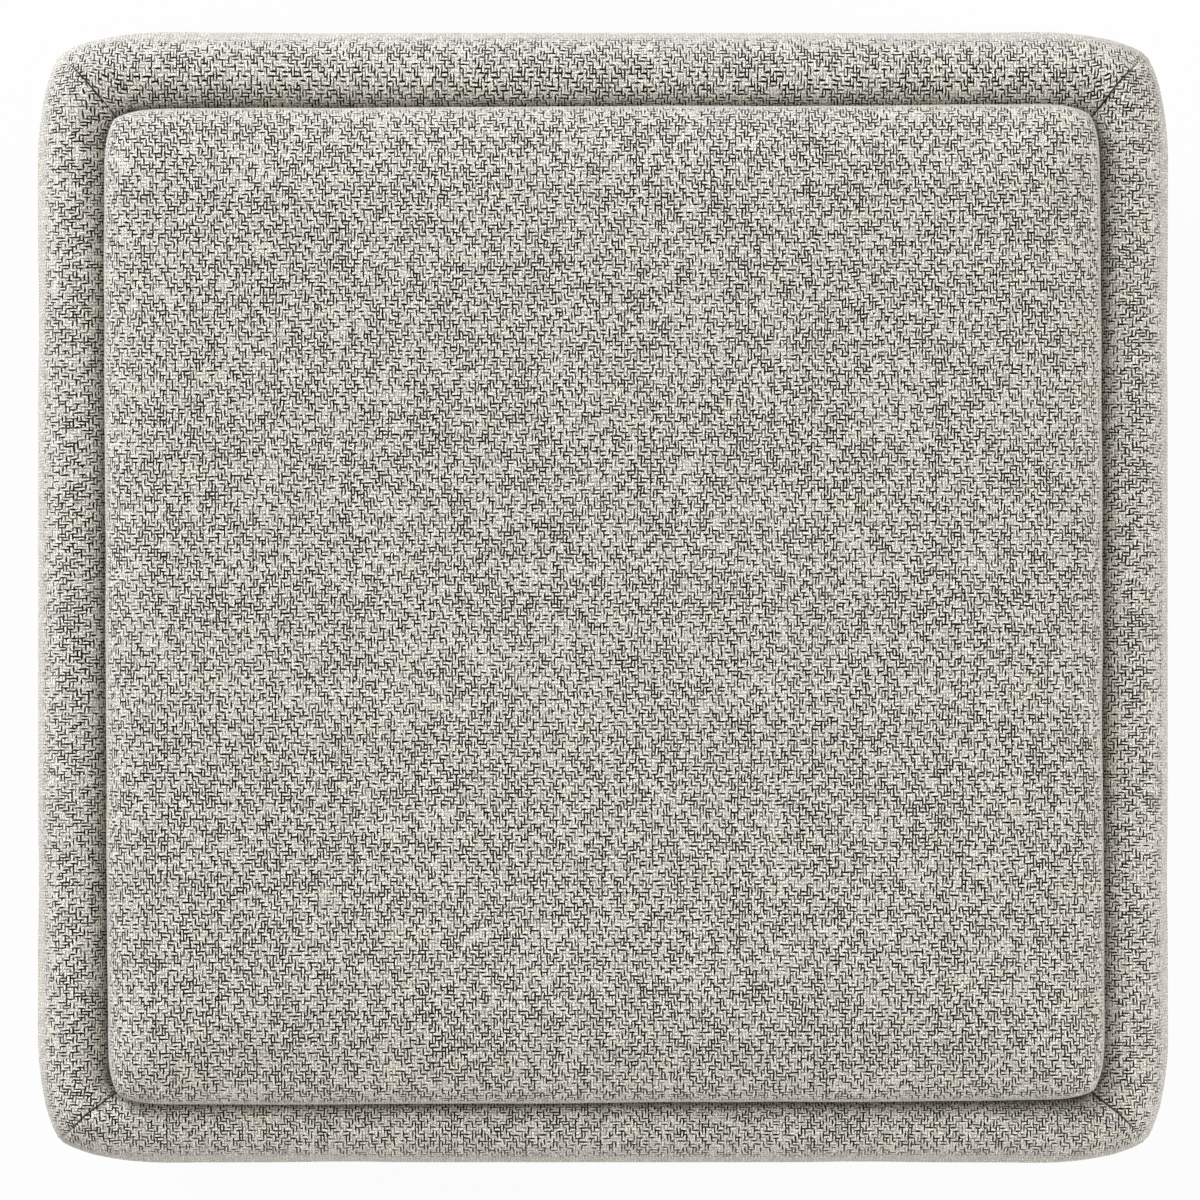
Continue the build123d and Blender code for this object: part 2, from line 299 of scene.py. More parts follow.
def draw_side_section(bm, half_reach):
    """The padded wall's section at X = 0: hem, face, rim and inner leg, then back along the board."""
    def at(inset, z):
        return Vector((0, inset - half_reach, z))

    pen = bm.verts.new(at(hem_inset, hem_under))
    pen = draw_line(bm, pen, at(bottom_roll, hem_under))
    pen = draw_roll(bm, pen, at(bottom_roll, hem_under + bottom_roll), BOTTOM_STEPS)
    pen = draw_line(bm, pen, at(0, board_top))
    pen = draw_roll(bm, pen, at(rim_crown_inset, board_top), RIM_STEPS)
    rim_inner_roll = rim_width + RIM_PRESS - rim_crown_inset
    pen = draw_roll(bm, pen, at(rim_crown_inset, rim_top - rim_inner_roll), RIM_STEPS)
    pen = draw_line(bm, pen, at(rim_width + RIM_PRESS, lid_under + LEG_BEND))
    pen = draw_line(bm, pen, at(rim_width, lid_under))
    skin = len(bm.verts)
    for inset, z in [
        (board_inner, lid_under), (board_inner, board_top), (board_outer, board_top),
        (board_outer, floor_under), (hem_inset, floor_under),
    ]:
        pen = draw_line(bm, pen, at(inset, z), step=1)
    bm.verts.ensure_lookup_table()
    bm.edges.new((pen, bm.verts[0]))
    return skin


def last_ring(drawn):
    """The edges that a sweep ended on."""
    return [item for item in drawn["geom_last"] if isinstance(item, bmesh.types.BMEdge)]


def corner_place(spot, half_run, half_reach):
    """A point's distance from the upright axis of its corner, and its angle round that axis."""
    over = max(0, abs(spot.x) - half_run + corner_radius)
    out = corner_radius - half_reach - spot.y
    return math.hypot(over, out), math.atan2(over, out)


def side_mesh(half_run, half_reach):
    """One padded side, made at the front: the section swept along the wall and round half of each corner."""
    bm = bmesh.new()
    length = bm.verts.layers.float.new("section_length")
    skin = draw_side_section(bm, half_reach)
    travelled = 0.0
    for index, vert in enumerate(bm.verts):
        if index:
            travelled += (vert.co - bm.verts[index - 1].co).length
        vert[length] = travelled if index < skin else -1
    run = half_run - corner_radius
    left_axis = Vector((-run, corner_radius - half_reach, 0))
    right_axis = Vector((run, corner_radius - half_reach, 0))
    sweep = math.pi / 4 - SEAM_ANGLE
    bmesh.ops.translate(bm, vec=(-run, 0, 0), verts=bm.verts)
    start_turn = Matrix.Rotation(-math.pi / 4, 3, "Z")
    bmesh.ops.rotate(bm, cent=left_axis, matrix=start_turn, verts=bm.verts)
    ring = bm.edges[:]
    seam_turn = {"axis": (0, 0, 1), "angle": SEAM_ANGLE, "steps": 2}
    corner_turn = {"axis": (0, 0, 1), "angle": sweep, "steps": CORNER_RINGS}
    ring = last_ring(bmesh.ops.spin(bm, geom=ring, cent=left_axis, **seam_turn))
    ring = last_ring(bmesh.ops.spin(bm, geom=ring, cent=left_axis, **corner_turn))
    steps = round(2 * run / CLOTH_STEP)
    stride = Vector((2 * run / steps, 0, 0))
    straight = {"axis": (0, 0, 1), "angle": 0, "steps": steps, "dvec": stride}
    ring = last_ring(bmesh.ops.spin(bm, geom=ring, cent=left_axis, **straight))
    ring = last_ring(bmesh.ops.spin(bm, geom=ring, cent=right_axis, **corner_turn))
    bmesh.ops.spin(bm, geom=ring, cent=right_axis, **seam_turn)
    bmesh.ops.recalc_face_normals(bm, faces=bm.faces)
    bm.normal_update()
    level = bm.verts.layers.float.new("level")
    for vert in bm.verts:
        reach, _ = corner_place(vert.co, half_run, half_reach)
        vert[level] = math.copysign(vert.normal.z ** 2, vert.normal.z)
        if corner_radius - reach > rim_crown_inset and vert.co.z > lid_under:
            vert[level] = 1 / max(STEEPEST, vert.normal.z)
    return bm


def sew_ends(bm, half_run, half_reach, lean):
    """Draws a side's ends into the mitred seams, fills out its corners and leans its rim to the lid."""
    length = bm.verts.layers.float["section_length"]
    seam_shade = bm.verts.layers.float.new("seam_shade")
    lit_fuzz = bm.verts.layers.float.new("lit_fuzz")
    drawn_in = {}
    leaning = {}
    for vert in bm.verts:
        reach, angle = corner_place(vert.co, half_run, half_reach)
        # Lit fuzz: full on the outer side of the rim, where the edge-on cloth is lit, and less down the
        # wall; none on the inner slope, which the lid shades
        outer = min(1, max(0, (reach - corner_radius + rim_width) / (rim_width - rim_crown_inset)))
        near_rim = min(1, max(0, (vert.co.z - board_top) / LIT_FUZZ_BAND + 1))
        vert[lit_fuzz] = outer * (WALL_LIT_FUZZ + (1 - WALL_LIT_FUZZ) * near_rim)
        if vert[length] > 0:
            leaning[vert] = lean * (1 - outer) * ease((vert.co.z - lid_board_top) / SHIFT_RISE)
        if angle == 0:
            continue
        ring = round((math.pi / 4 - angle) / (SEAM_ANGLE / 2))
        fullness = CORNER_FULLNESS * reach * outer - CORNER_TUCK * (1 - outer)
        fuller = reach + fullness * math.sin(2 * angle) ** 2
        if ring <= 2:
            gap = min(SEAM_GAPS[ring], SEAM_SHARES[ring] * reach)
            angle = math.pi / 4 - math.asin(gap / reach)
        side = math.copysign(1, vert.co.x)
        vert.co.x = side * (half_run - corner_radius + fuller * math.sin(angle))
        vert.co.y = corner_radius - half_reach - fuller * math.cos(angle)
        if ring <= 1 and vert[length] > hem_inset:
            tight = max(0, 1 - (reach / corner_radius) ** 4)
            drawn_in[vert] = SEAM_DEPTH * SEAM_PULLS[ring] * (LOOSEST_PULL + (1 - LOOSEST_PULL) * tight)
            # Painted shade along the seam's groove, fading towards the outer edge
            vert[seam_shade] = (1 - ring) * min(1, SEAM_FAINTEST + SEAM_FADE * tight)
    for vert, depth in drawn_in.items():
        vert.co -= vert.normal * depth
    for vert, move in leaning.items():
        vert.co += move


def close_ends(bm):
    """Closes a side at its seams, with a crisp edge there."""
    ends = [edge for edge in bm.edges if edge.is_boundary]
    for edge in ends:
        edge.smooth = False
    bmesh.ops.holes_fill(bm, edges=ends)
    bmesh.ops.recalc_face_normals(bm, faces=bm.faces)


def lay_side_cloth(bm, half_run, half_reach, start):
    """Flat coordinates of the panel, in metres: straight on the rim, and wrapped round the wall."""
    run = half_run - corner_radius
    length = bm.verts.layers.float["section_length"]
    level = bm.verts.layers.float["level"]
    flat = bm.loops.layers.uv.new("cloth")
    for face in bm.faces:
        for loop in face.loops:
            vert = loop.vert
            reach, angle = corner_place(vert.co, half_run, half_reach)
            lying = min(1, abs(vert[level]))
            along = min(abs(vert.co.x), run) + reach * ((1 - lying) * angle + lying * math.sin(angle))
            rise = vert[level] * reach * (1 - math.cos(angle))
            loop[flat].uv = (start + math.copysign(along, vert.co.x), vert[length] + rise)


def swell(piece, free, limit, pressure=4.0, frames=20):
    """Inflates a padded piece with Blender's cloth, and moves each vertex that way, up to a limit."""
    held = piece.vertex_groups.new(name="held")
    held.add([vert.index for vert in piece.data.vertices if vert.index not in free], 1.0, "REPLACE")
    cloth = piece.modifiers.new("cloth", "CLOTH")
    cloth.settings.vertex_group_mass = "held"
    cloth.settings.use_pressure = True
    cloth.settings.uniform_pressure_force = pressure
    cloth.settings.effector_weights.gravity = 0
    cloth.settings.quality = 4
    cloth.collision_settings.use_collision = False
    cloth.point_cache.frame_start = 1
    cloth.point_cache.frame_end = frames
    for number in range(1, frames + 1):
        bpy.context.scene.frame_set(number)
    shown = piece.evaluated_get(bpy.context.evaluated_depsgraph_get())
    ends = [vert.co.copy() for vert in shown.data.vertices]
    piece.modifiers.remove(cloth)
    piece.vertex_groups.remove(held)
    bpy.context.scene.frame_set(1)
    for vert, end in zip(piece.data.vertices, ends):
        move = end - vert.co
        if move.length > limit:
            move.length = limit
        vert.co += move


def link_mesh(name, bm, material):
    """A smooth-shaded object from a bmesh."""
    mesh = bpy.data.meshes.new(name)
    bm.to_mesh(mesh)
    bm.free()
    piece = bpy.data.objects.new(name, mesh)
    bpy.context.scene.collection.objects.link(piece)
    mesh.materials.append(material)
    for face in mesh.polygons:
        face.use_smooth = True
    return piece


WARP_PITCH = 0.00125
WEFT_PITCH = 0.00153
SLIT_SOFTNESS = 0.12
SLIT_TAPER = 3.5
WARP_SLIT = 0.00065
WEFT_SLIT = 0.00070
NARROWEST_SLIT = 0.25
SLIT_SPREAD = 0.3
FAINTEST_SLIT = 0.27
WEAK_SIDE = -0.38
PATCH_SHARE = 0.08
LINE_SHARE = 0.25
FLOAT_TONE = 0.26
YARN_TONE = 0.12
FIBRE_TONE = 2.1
GRAIN_TONE = 3.4
YARN_CROWN_HIGHLIGHT = 0.5
YARN_EDGE_SHADE = 0.67
FIBRE_RELIEF = 0.35
LEAST_TAPER = 0.02
FAINT_CHANCE = 0.09
FULL_CHANCE = 0.52
JOG = 0.0005
DRIFT = 0.0018


def hash_of(tree, first, second, seed):
    """A random number, and colour, that belongs to one pair of whole numbers."""
    key = put(tree, "ShaderNodeCombineXYZ", {0: first, 1: second, 2: seed}).outputs[0]
    return put(tree, "ShaderNodeTexWhiteNoise", {"Vector": key}, noise_dimensions="3D")


def build_yarn_float():
    """Which yarn is on top where two cross, in a two-and-two twill that turns every fourth warp."""
    group, given, out = start_group(
        "yarn_float",
        {"Warp number": "NodeSocketFloat", "Weft number": "NodeSocketFloat"},
        {name: "NodeSocketFloat" for name in ("Warp on top", "Float start", "Float pair")},
    )
    warp, weft = given.outputs[0], given.outputs[1]
    in_repeat = calc(group, "FLOORED_MODULO", warp, 8)
    falling = calc(group, "LESS_THAN", in_repeat, 4)
    fall = calc(group, "SUBTRACT", 2, in_repeat)
    rise = calc(group, "SUBTRACT", in_repeat, 3)
    step = choose(group, falling, rise, fall)
    since = calc(group, "FLOORED_MODULO", calc(group, "SUBTRACT", weft, step), 4)
    odd = calc(group, "FLOORED_MODULO", weft, 2)
    pair = calc(group, "FLOOR", calc(group, "MULTIPLY", calc(group, "ADD", warp, odd), 0.5))
    on_top = calc(group, "LESS_THAN", since, 1.5)
    start = calc(group, "SUBTRACT", weft, since)
    give(group, out, {"Warp on top": on_top, "Float start": start, "Float pair": pair})
    return group


def build_yarn_slit():
    """The painted shade in the slit beside a float: widest at the middle of the float, soft at its edges."""
    group, given, out = start_group(
        "yarn_slit",
        {name: "NodeSocketFloat" for name in ("Distance", "Place", "Darkness", "Width")},
        {"Slit": "NodeSocketFloat"},
    )
    distance, place, darkness, width = given.outputs[0], given.outputs[1], given.outputs[2], given.outputs[3]
    from_middle = calc(group, "ABSOLUTE", calc(group, "SUBTRACT", place, 1))
    taper = calc(group, "SUBTRACT", 1, calc(group, "POWER", from_middle, SLIT_TAPER))
    opening = calc(group, "MULTIPLY_ADD", darkness, SLIT_SPREAD, NARROWEST_SLIT)
    widest = calc(group, "MULTIPLY", width, opening)
    half = calc(group, "MULTIPLY", widest, calc(group, "MAXIMUM", taper, LEAST_TAPER))
    inner = calc(group, "MULTIPLY", half, 1 - SLIT_SOFTNESS)
    outer = calc(group, "MULTIPLY", half, 1 + SLIT_SOFTNESS)
    slit = ramp(group, distance, inner, outer, darkness, 0.0, "SMOOTHSTEP")
    give(group, out, {"Slit": slit})
    return group


yarn_float = build_yarn_float()
yarn_slit = build_yarn_slit()


def build_tweed_weave():
    """The cover cloth's weave on flat coordinates in metres: yarn tone with painted shading round each yarn,
    yarn tint, painted shade in the slits, and relief.
    """
    group, given, out = start_group(
        "tweed_weave",
        {"Vector": "NodeSocketVector"},
        {
            "Shaded tone": "NodeSocketFloat", "Tint": "NodeSocketColor",
            "Slit": "NodeSocketFloat", "Height": "NodeSocketFloat",
        },
    )
    flat = given.outputs[0]

    # Handling leaves the yarns a little crooked: short jogs and a slow drift
    jog = speckle(group, flat, 420.0, 0).outputs["Color"]
    drift = speckle(group, flat, 30.0, 0).outputs["Color"]
    shifts = {0: jog, 1: (JOG, JOG, 0), 2: flat}
    jogged = put(group, "ShaderNodeVectorMath", shifts, operation="MULTIPLY_ADD").outputs[0]
    shifts = {0: drift, 1: (DRIFT, DRIFT, 0), 2: jogged}
    drifted = put(group, "ShaderNodeVectorMath", shifts, operation="MULTIPLY_ADD").outputs[0]
    counts = {0: drifted, 1: (1 / WARP_PITCH, 1 / WEFT_PITCH, 1)}
    counted = put(group, "ShaderNodeVectorMath", counts, operation="MULTIPLY").outputs[0]
    parts = put(group, "ShaderNodeSeparateXYZ", {0: counted})
    across, up = parts.outputs[0], parts.outputs[1]
    warp, weft = calc(group, "FLOOR", across), calc(group, "FLOOR", up)
    in_warp, in_weft = calc(group, "FRACT", across), calc(group, "FRACT", up)
    here = use_group(group, yarn_float, {0: warp, 1: weft})

    # The borders between yarns that lie nearest
    border = calc(group, "ROUND", across)
    level = calc(group, "ROUND", up)
    aside = calc(group, "ABSOLUTE", calc(group, "SUBTRACT", across, border))
    aside = calc(group, "MULTIPLY", aside, WARP_PITCH)
    above = calc(group, "ABSOLUTE", calc(group, "SUBTRACT", up, level))
    above = calc(group, "MULTIPLY", above, WEFT_PITCH)

    # Patches, and whole yarns, where the slits open more or less
    fine = speckle(group, flat, 210.0, 1).outputs["Fac"]
    broad = speckle(group, flat, 70.0, 1).outputs["Fac"]
    patch = calc(group, "SUBTRACT", calc(group, "ADD", fine, broad), 1)
    warp_line = hash_of(group, border, 0, 5).outputs["Value"]
    weft_line = hash_of(group, 0, level, 6).outputs["Value"]

    def darkness(chance, line, present):
        """How dark one slit is, from its own chance, its yarn's and the patch it is in."""
        raised = calc(group, "MULTIPLY_ADD", patch, PATCH_SHARE, chance)
        raised = calc(group, "MULTIPLY_ADD", calc(group, "SUBTRACT", line, 0.5), LINE_SHARE, raised)
        opened = ramp(group, raised, FAINT_CHANCE, FULL_CHANCE, FAINTEST_SLIT, 1.0, "SMOOTHSTEP")
        return calc(group, "MULTIPLY", opened, present)

    slits = []
    for side, offset in ((-1, 0.0), (0, WEAK_SIDE)):
        column = calc(group, "ADD", border, side)
        beside = use_group(group, yarn_float, {0: column, 1: weft})
        chance = hash_of(group, border, beside.outputs["Float start"], 11 - side).outputs["Value"]
        dark = darkness(calc(group, "ADD", chance, offset), warp_line, beside.outputs["Warp on top"])
        place = calc(group, "SUBTRACT", up, beside.outputs["Float start"])
        slits.append(use_group(group, yarn_slit, {0: aside, 1: place, 2: dark, 3: WARP_SLIT}).outputs[0])
    for side, offset in ((0, 0.0), (-1, WEAK_SIDE)):
        row = calc(group, "ADD", level, side)
        beside = use_group(group, yarn_float, {0: warp, 1: row})
        chance = hash_of(group, beside.outputs["Float pair"], level, 23 - side).outputs["Value"]
        present = calc(group, "SUBTRACT", 1, beside.outputs["Warp on top"])
        dark = darkness(calc(group, "ADD", chance, offset), weft_line, present)
        first = calc(group, "MULTIPLY", beside.outputs["Float pair"], 2)
        first = calc(group, "SUBTRACT", first, calc(group, "FLOORED_MODULO", row, 2))
        place = calc(group, "SUBTRACT", across, first)
        slits.append(use_group(group, yarn_slit, {0: above, 1: place, 2: dark, 3: WEFT_SLIT}).outputs[0])
    slit = slits[0]
    for other in slits[1:]:
        slit = calc(group, "MAXIMUM", slit, other)

    # Each yarn is round, painted lighter along its middle and darker at its edges as light would fall on it,
    # and its tone and tint change from yarn to yarn and from float to float
    on_top = here.outputs["Warp on top"]
    offset_here = choose(group, on_top, in_weft, in_warp)
    from_axis = calc(group, "MULTIPLY_ADD", offset_here, 2, -1)
    round_yarn = calc(group, "SUBTRACT", 1, calc(group, "MULTIPLY", from_axis, from_axis))
    first_key = choose(group, on_top, here.outputs["Float pair"], warp)
    second_key = choose(group, on_top, weft, here.outputs["Float start"])
    float_hash = hash_of(group, first_key, second_key, calc(group, "ADD", on_top, 31))
    yarn_key = choose(group, on_top, weft, warp)
    yarn_hash = hash_of(group, yarn_key, on_top, 41).outputs["Value"]
    fibres = []
    for scale in ((1, 0.4, 1), (0.4, 1, 1)):
        drawn = put(group, "ShaderNodeMapping", {"Vector": flat, "Scale": scale}).outputs[0]
        fibres.append(speckle(group, drawn, 2600.0, 1).outputs["Fac"])
    fibre = choose(group, on_top, fibres[1], fibres[0])
    grain = speckle(group, flat, 3000.0, 0).outputs["Fac"]
    # Painted shading of each round yarn: a painted highlight along its middle and painted shade at its edges
    shaded_tone = calc(group, "MULTIPLY_ADD", round_yarn, YARN_CROWN_HIGHLIGHT, YARN_EDGE_SHADE)
    shades = [
        (float_hash.outputs["Value"], FLOAT_TONE), (yarn_hash, YARN_TONE),
        (fibre, FIBRE_TONE), (grain, GRAIN_TONE),
    ]
    for value, share in shades:
        shaded_tone = calc(group, "MULTIPLY", shaded_tone, calc(group, "MULTIPLY_ADD", value, share, 1 - share / 2))
    height = calc(group, "MULTIPLY", round_yarn, calc(group, "SUBTRACT", 1, slit))
    height = calc(group, "MULTIPLY_ADD", fibre, FIBRE_RELIEF, height)
    give(group, out, {"Shaded tone": shaded_tone, "Tint": float_hash.outputs["Color"], "Slit": slit, "Height": height})
    return group


tweed_weave = build_tweed_weave()
TWEED_YARN = (0.785, 0.753, 0.690, 1)
TWEED_CREAM = (0.785, 0.757, 0.634, 1)
TWEED_ROSE = (0.725, 0.669, 0.628, 1)
# Painted shade for the slits between yarns and along the seams
TWEED_SLIT_SHADE = (0.005, 0.004, 0.002, 1)
FUZZ_SHADE = -0.22


def build_tweed():
    """The cover cloth: heathered greige yarns with painted shade in the slits between them; where the lit
    fuzz is seen edge-on it hides the slits, and painted shade darkens it.
    """
    plain = {
        "Roughness": 0.95, "Specular IOR Level": 0.15,
        "Sheen Weight": 0.15, "Sheen Roughness": 0.45, "Sheen Tint": (1.0, 0.98, 0.94, 1),
    }
    material, tree, shader = start_material("tweed", plain)
    flat = put(tree, "ShaderNodeUVMap", {}, uv_map="cloth").outputs[0]
    weave = use_group(tree, tweed_weave, {"Vector": flat})
    facing = put(tree, "ShaderNodeLayerWeight", {"Blend": 0.5}).outputs["Facing"]
    hidden = ramp(tree, facing, 0.02, 0.6, 0.0, 1.02)
    lit_fuzz = put(tree, "ShaderNodeAttribute", {}, attribute_name="lit_fuzz").outputs["Fac"]
    # Where the lit fuzz is seen edge-on, the slits' painted shade is hidden
    covered = calc(tree, "MULTIPLY", hidden, lit_fuzz)
    deepest = calc(tree, "MULTIPLY_ADD", covered, 0.1, 1.0)
    slit = ramp(tree, weave.outputs["Slit"], covered, deepest, 0.0, 1.0)
    chances = put(tree, "ShaderNodeSeparateColor", {0: weave.outputs["Tint"]})
    streak = put(tree, "ShaderNodeMapping", {"Vector": flat, "Scale": (0.3, 1, 1)}).outputs[0]
    heather = speckle(tree, streak, 110.0, 2).outputs["Fac"]
    cream = ramp(tree, heather, 0.45, 0.7, 0.1, 0.9)
    cream = calc(tree, "MULTIPLY", cream, calc(tree, "MULTIPLY_ADD", chances.outputs[0], 0.6, 0.4))
    rose = calc(tree, "MULTIPLY", calc(tree, "POWER", chances.outputs[1], 5), 0.4)
    yarn = blend(tree, rose, blend(tree, cream, TWEED_YARN, TWEED_CREAM), TWEED_ROSE)
    # Painted shade where the lit fuzz is seen edge-on
    shade = calc(tree, "MULTIPLY_ADD", covered, FUZZ_SHADE, 1.0)
    shaded_tone = calc(tree, "MULTIPLY", weave.outputs["Shaded tone"], shade)
    toned = put(tree, "ShaderNodeVectorMath", {0: yarn, "Scale": shaded_tone}, operation="SCALE").outputs[0]
    # Painted shade along the seams, in the slits' shade colour
    seam_shade = put(tree, "ShaderNodeAttribute", {}, attribute_name="seam_shade").outputs["Fac"]
    line = ramp(tree, seam_shade, 0.4, 0.8, 0.0, 0.97, "SMOOTHSTEP")
    slit = calc(tree, "MAXIMUM", slit, line)
    colour = blend(tree, slit, toned, TWEED_SLIT_SHADE)
    tree.links.new(colour, shader.inputs["Base Color"])
    emboss(tree, shader, 0.5, 0.0003, weave.outputs["Height"])
    return material


tweed = build_tweed()

for quarter, side in enumerate(SIDES):
    along, across = (half_width, half_depth) if quarter % 2 == 0 else (half_depth, half_width)
    bm = side_mesh(along, across)
    sew_ends(bm, along, across, Matrix.Rotation(-quarter * math.pi / 2, 3, "Z") @ LID_SHIFT)
    lay_side_cloth(bm, along, across, PANEL_STEP * quarter)
    close_ends(bm)
    length = bm.verts.layers.float["section_length"]
    skin_end = max(vert[length] for vert in bm.verts)
    free = set()
    for vert in bm.verts:
        _, angle = corner_place(vert.co, along, across)
        clear_of_seam = angle < math.pi / 4 - 1.5 * SEAM_ANGLE
        if HEM_HELD < vert[length] < skin_end - LEG_HELD and clear_of_seam:
            free.add(vert.index)
    pad = link_mesh(side + "_pad", bm, tweed)
    swell(pad, free, SIDE_SWELL)
    pad.data.transform(Matrix.Rotation(quarter * math.pi / 2, 4, "Z"))
    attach(pad, "box")
    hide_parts(side + "_cover", side + "_wall_foam", side + "_rim_foam")


# Liner: a bag of charcoal non-woven cloth, sewn from five panels and hung inside the box.
# The four walls turn out over the ledges, where they are stapled, and hang a little slack.

liner_staple_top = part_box("liner_staples")[1].z
liner_low, liner_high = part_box("front_liner")
liner_inner = half_depth + liner_high.y
floor_liner_low, floor_liner_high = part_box("floor_liner")
LINER_CLOTH = 0.0007
LINER_SLACK = 0.0035
LINER_CELLS = 40
FLOOR_RIPPLE = 0.0012
STAPLE_STAND = 0.0005


def build_bonded_fibre():
    """Spun-bonded cloth: matted fibres pressed together at rows of small dimples."""
    group, given, out = start_group(
        "bonded_fibre",
        {"Vector": "NodeSocketVector", "Pitch": "NodeSocketFloat"},
        {"Fibre": "NodeSocketFloat", "Dimple": "NodeSocketFloat"},
    )
    flat = given.outputs[0]
    inputs = {"Vector": flat, "Scale": 1800.0, "Detail": 4, "Distortion": 2.5}
    matted = put(group, "ShaderNodeTexNoise", inputs)
    count = calc(group, "DIVIDE", 1, given.outputs["Pitch"])
    counted = put(group, "ShaderNodeVectorMath", {0: flat, "Scale": count}, operation="SCALE").outputs[0]
    parts = put(group, "ShaderNodeSeparateXYZ", {0: counted})
    across, up = parts.outputs[0], parts.outputs[1]
    odd = calc(group, "FLOORED_MODULO", calc(group, "FLOOR", up), 2)
    staggered = calc(group, "MULTIPLY_ADD", odd, 0.5, across)
    from_x = calc(group, "SUBTRACT", calc(group, "FRACT", staggered), 0.5)
    from_y = calc(group, "SUBTRACT", calc(group, "FRACT", up), 0.5)
    spread = calc(group, "ADD", calc(group, "ABSOLUTE", from_x), calc(group, "ABSOLUTE", from_y))
    dimple = ramp(group, spread, 0.22, 0.36, 1.0, 0.0, "SMOOTHSTEP")
    give(group, out, {"Fibre": matted.outputs["Fac"], "Dimple": dimple})
    return group


bonded_fibre = build_bonded_fibre()


def non_woven(name, pale, dark, pitch):
    """Non-woven cloth in one shade."""
    plain = {"Specular IOR Level": 0.25, "Sheen Weight": 0.15, "Sheen Roughness": 0.5}
    material, tree, shader = start_material(name, plain)
    flat = put(tree, "ShaderNodeUVMap", {}, uv_map="cloth").outputs[0]
    web = use_group(tree, bonded_fibre, {"Vector": flat, "Pitch": pitch})
    colour = blend(tree, web.outputs["Fibre"], dark, pale)
    pressed = blend(tree, calc(tree, "MULTIPLY", web.outputs["Dimple"], 0.5), colour, dark)
    coat(tree, shader, pressed, calc(tree, "MULTIPLY_ADD", web.outputs["Dimple"], -0.25, 0.85))
    relief = calc(tree, "MULTIPLY_ADD", web.outputs["Dimple"], -0.8, web.outputs["Fibre"])
    emboss(tree, shader, 0.5, 0.0002, relief)
    return material


liner_cloth = non_woven("liner_cloth", (0.105, 0.105, 0.110, 1), (0.050, 0.050, 0.053, 1), 0.0016)


def liner_mesh(half_run, half_reach, drift):
    """One wall of the liner, made at the front: a hanging panel with a flange turned out over the ledge."""
    bm = bmesh.new()
    half_panel = half_run - liner_inner
    flange_top = liner_staple_top - STAPLE_STAND
    bottom = liner_low.z
    bmesh.ops.create_grid(bm, x_segments=LINER_CELLS, y_segments=LINER_CELLS, size=0.5)
    bmesh.ops.scale(bm, vec=(2 * half_panel, flange_top - bottom, 1), verts=bm.verts)
    bmesh.ops.rotate(bm, matrix=Matrix.Rotation(math.pi / 2, 3, "X"), verts=bm.verts)
    middle = Vector((0, liner_inner - half_reach, (flange_top + bottom) / 2))
    bmesh.ops.translate(bm, vec=middle, verts=bm.verts)
    top_edges = [edge for edge in bm.edges if min(vert.co.z for vert in edge.verts) > flange_top - 1e-5]
    turned = bmesh.ops.extrude_edge_only(bm, edges=top_edges)
    flange = [item for item in turned["geom"] if isinstance(item, bmesh.types.BMVert)]
    flange_width = liner_inner - board_inner
    widen = (half_panel + flange_width) / half_panel
    bmesh.ops.scale(bm, vec=(widen, 1, 1), verts=flange)
    bmesh.ops.translate(bm, vec=(0, -flange_width, 0), verts=flange)
    flat = bm.loops.layers.uv.new("cloth")
    for face in bm.faces:
        for loop in face.loops:
            spot = loop.vert.co
            loop[flat].uv = (spot.x, spot.z - spot.y)
    for vert in bm.verts:
        if vert in flange:
            continue
        across = 1 - (vert.co.x / half_panel) ** 2
        up = (vert.co.z - bottom) / (flange_top - bottom)
        hang = across * math.sin(math.pi * min(1, max(0, up)))
        fold = noise.noise(Vector((vert.co.x * 22 + drift, vert.co.z * 5, drift)))
        vert.co.y += LINER_SLACK * hang * (0.55 + 0.9 * fold)
    bmesh.ops.recalc_face_normals(bm, faces=bm.faces)
    return bm


def thicken(piece, thickness):
    """Gives a sheet its thickness, half of it to each side."""
    wall = piece.modifiers.new("thickness", "SOLIDIFY")
    wall.thickness = thickness
    wall.offset = 0


for quarter, side in enumerate(SIDES):
    along, across = (half_width, half_depth) if quarter % 2 == 0 else (half_depth, half_width)
    liner = link_mesh(side + "_liner_panel", liner_mesh(along, across, 3.7 * quarter), liner_cloth)
    liner.data.transform(Matrix.Rotation(quarter * math.pi / 2, 4, "Z"))
    thicken(liner, LINER_CLOTH)
    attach(liner, "box")
    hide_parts(side + "_liner")


def flat_cloth(bm):
    """Flat coordinates of a sheet that lies level."""
    flat = bm.loops.layers.uv.new("cloth")
    for face in bm.faces:
        for loop in face.loops:
            loop[flat].uv = loop.vert.co.xy


bm = bmesh.new()
bmesh.ops.create_grid(bm, x_segments=LINER_CELLS, y_segments=LINER_CELLS, size=0.5)
floor_liner_size = floor_liner_high - floor_liner_low
bmesh.ops.scale(bm, vec=(floor_liner_size.x, floor_liner_size.y, 1), verts=bm.verts)
bmesh.ops.translate(bm, vec=(0, 0, (floor_liner_low.z + floor_liner_high.z) / 2), verts=bm.verts)
flat_cloth(bm)
for vert in bm.verts:
    ripple = noise.noise(vert.co * 28)
    vert.co.z += max(0.0, ripple) * FLOOR_RIPPLE
floor_liner = link_mesh("floor_liner_panel", bm, liner_cloth)
thicken(floor_liner, LINER_CLOTH)
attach(floor_liner, "box")
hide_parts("floor_liner")


# Dust cover: thin black non-woven cloth under the floor, stapled over the hems of the covers.
# It lies on the hems at its edge and steps up to the floor board inside them.

dust_low, dust_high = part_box("dust_cover")
DUST_CLOTH = 0.0006
DUST_CORNER = corner_radius - (half_width - dust_high.x)
DUST_PUCKER = 0.0003
STEP_WIDTH = 0.003
SHEET_CELL = 0.009


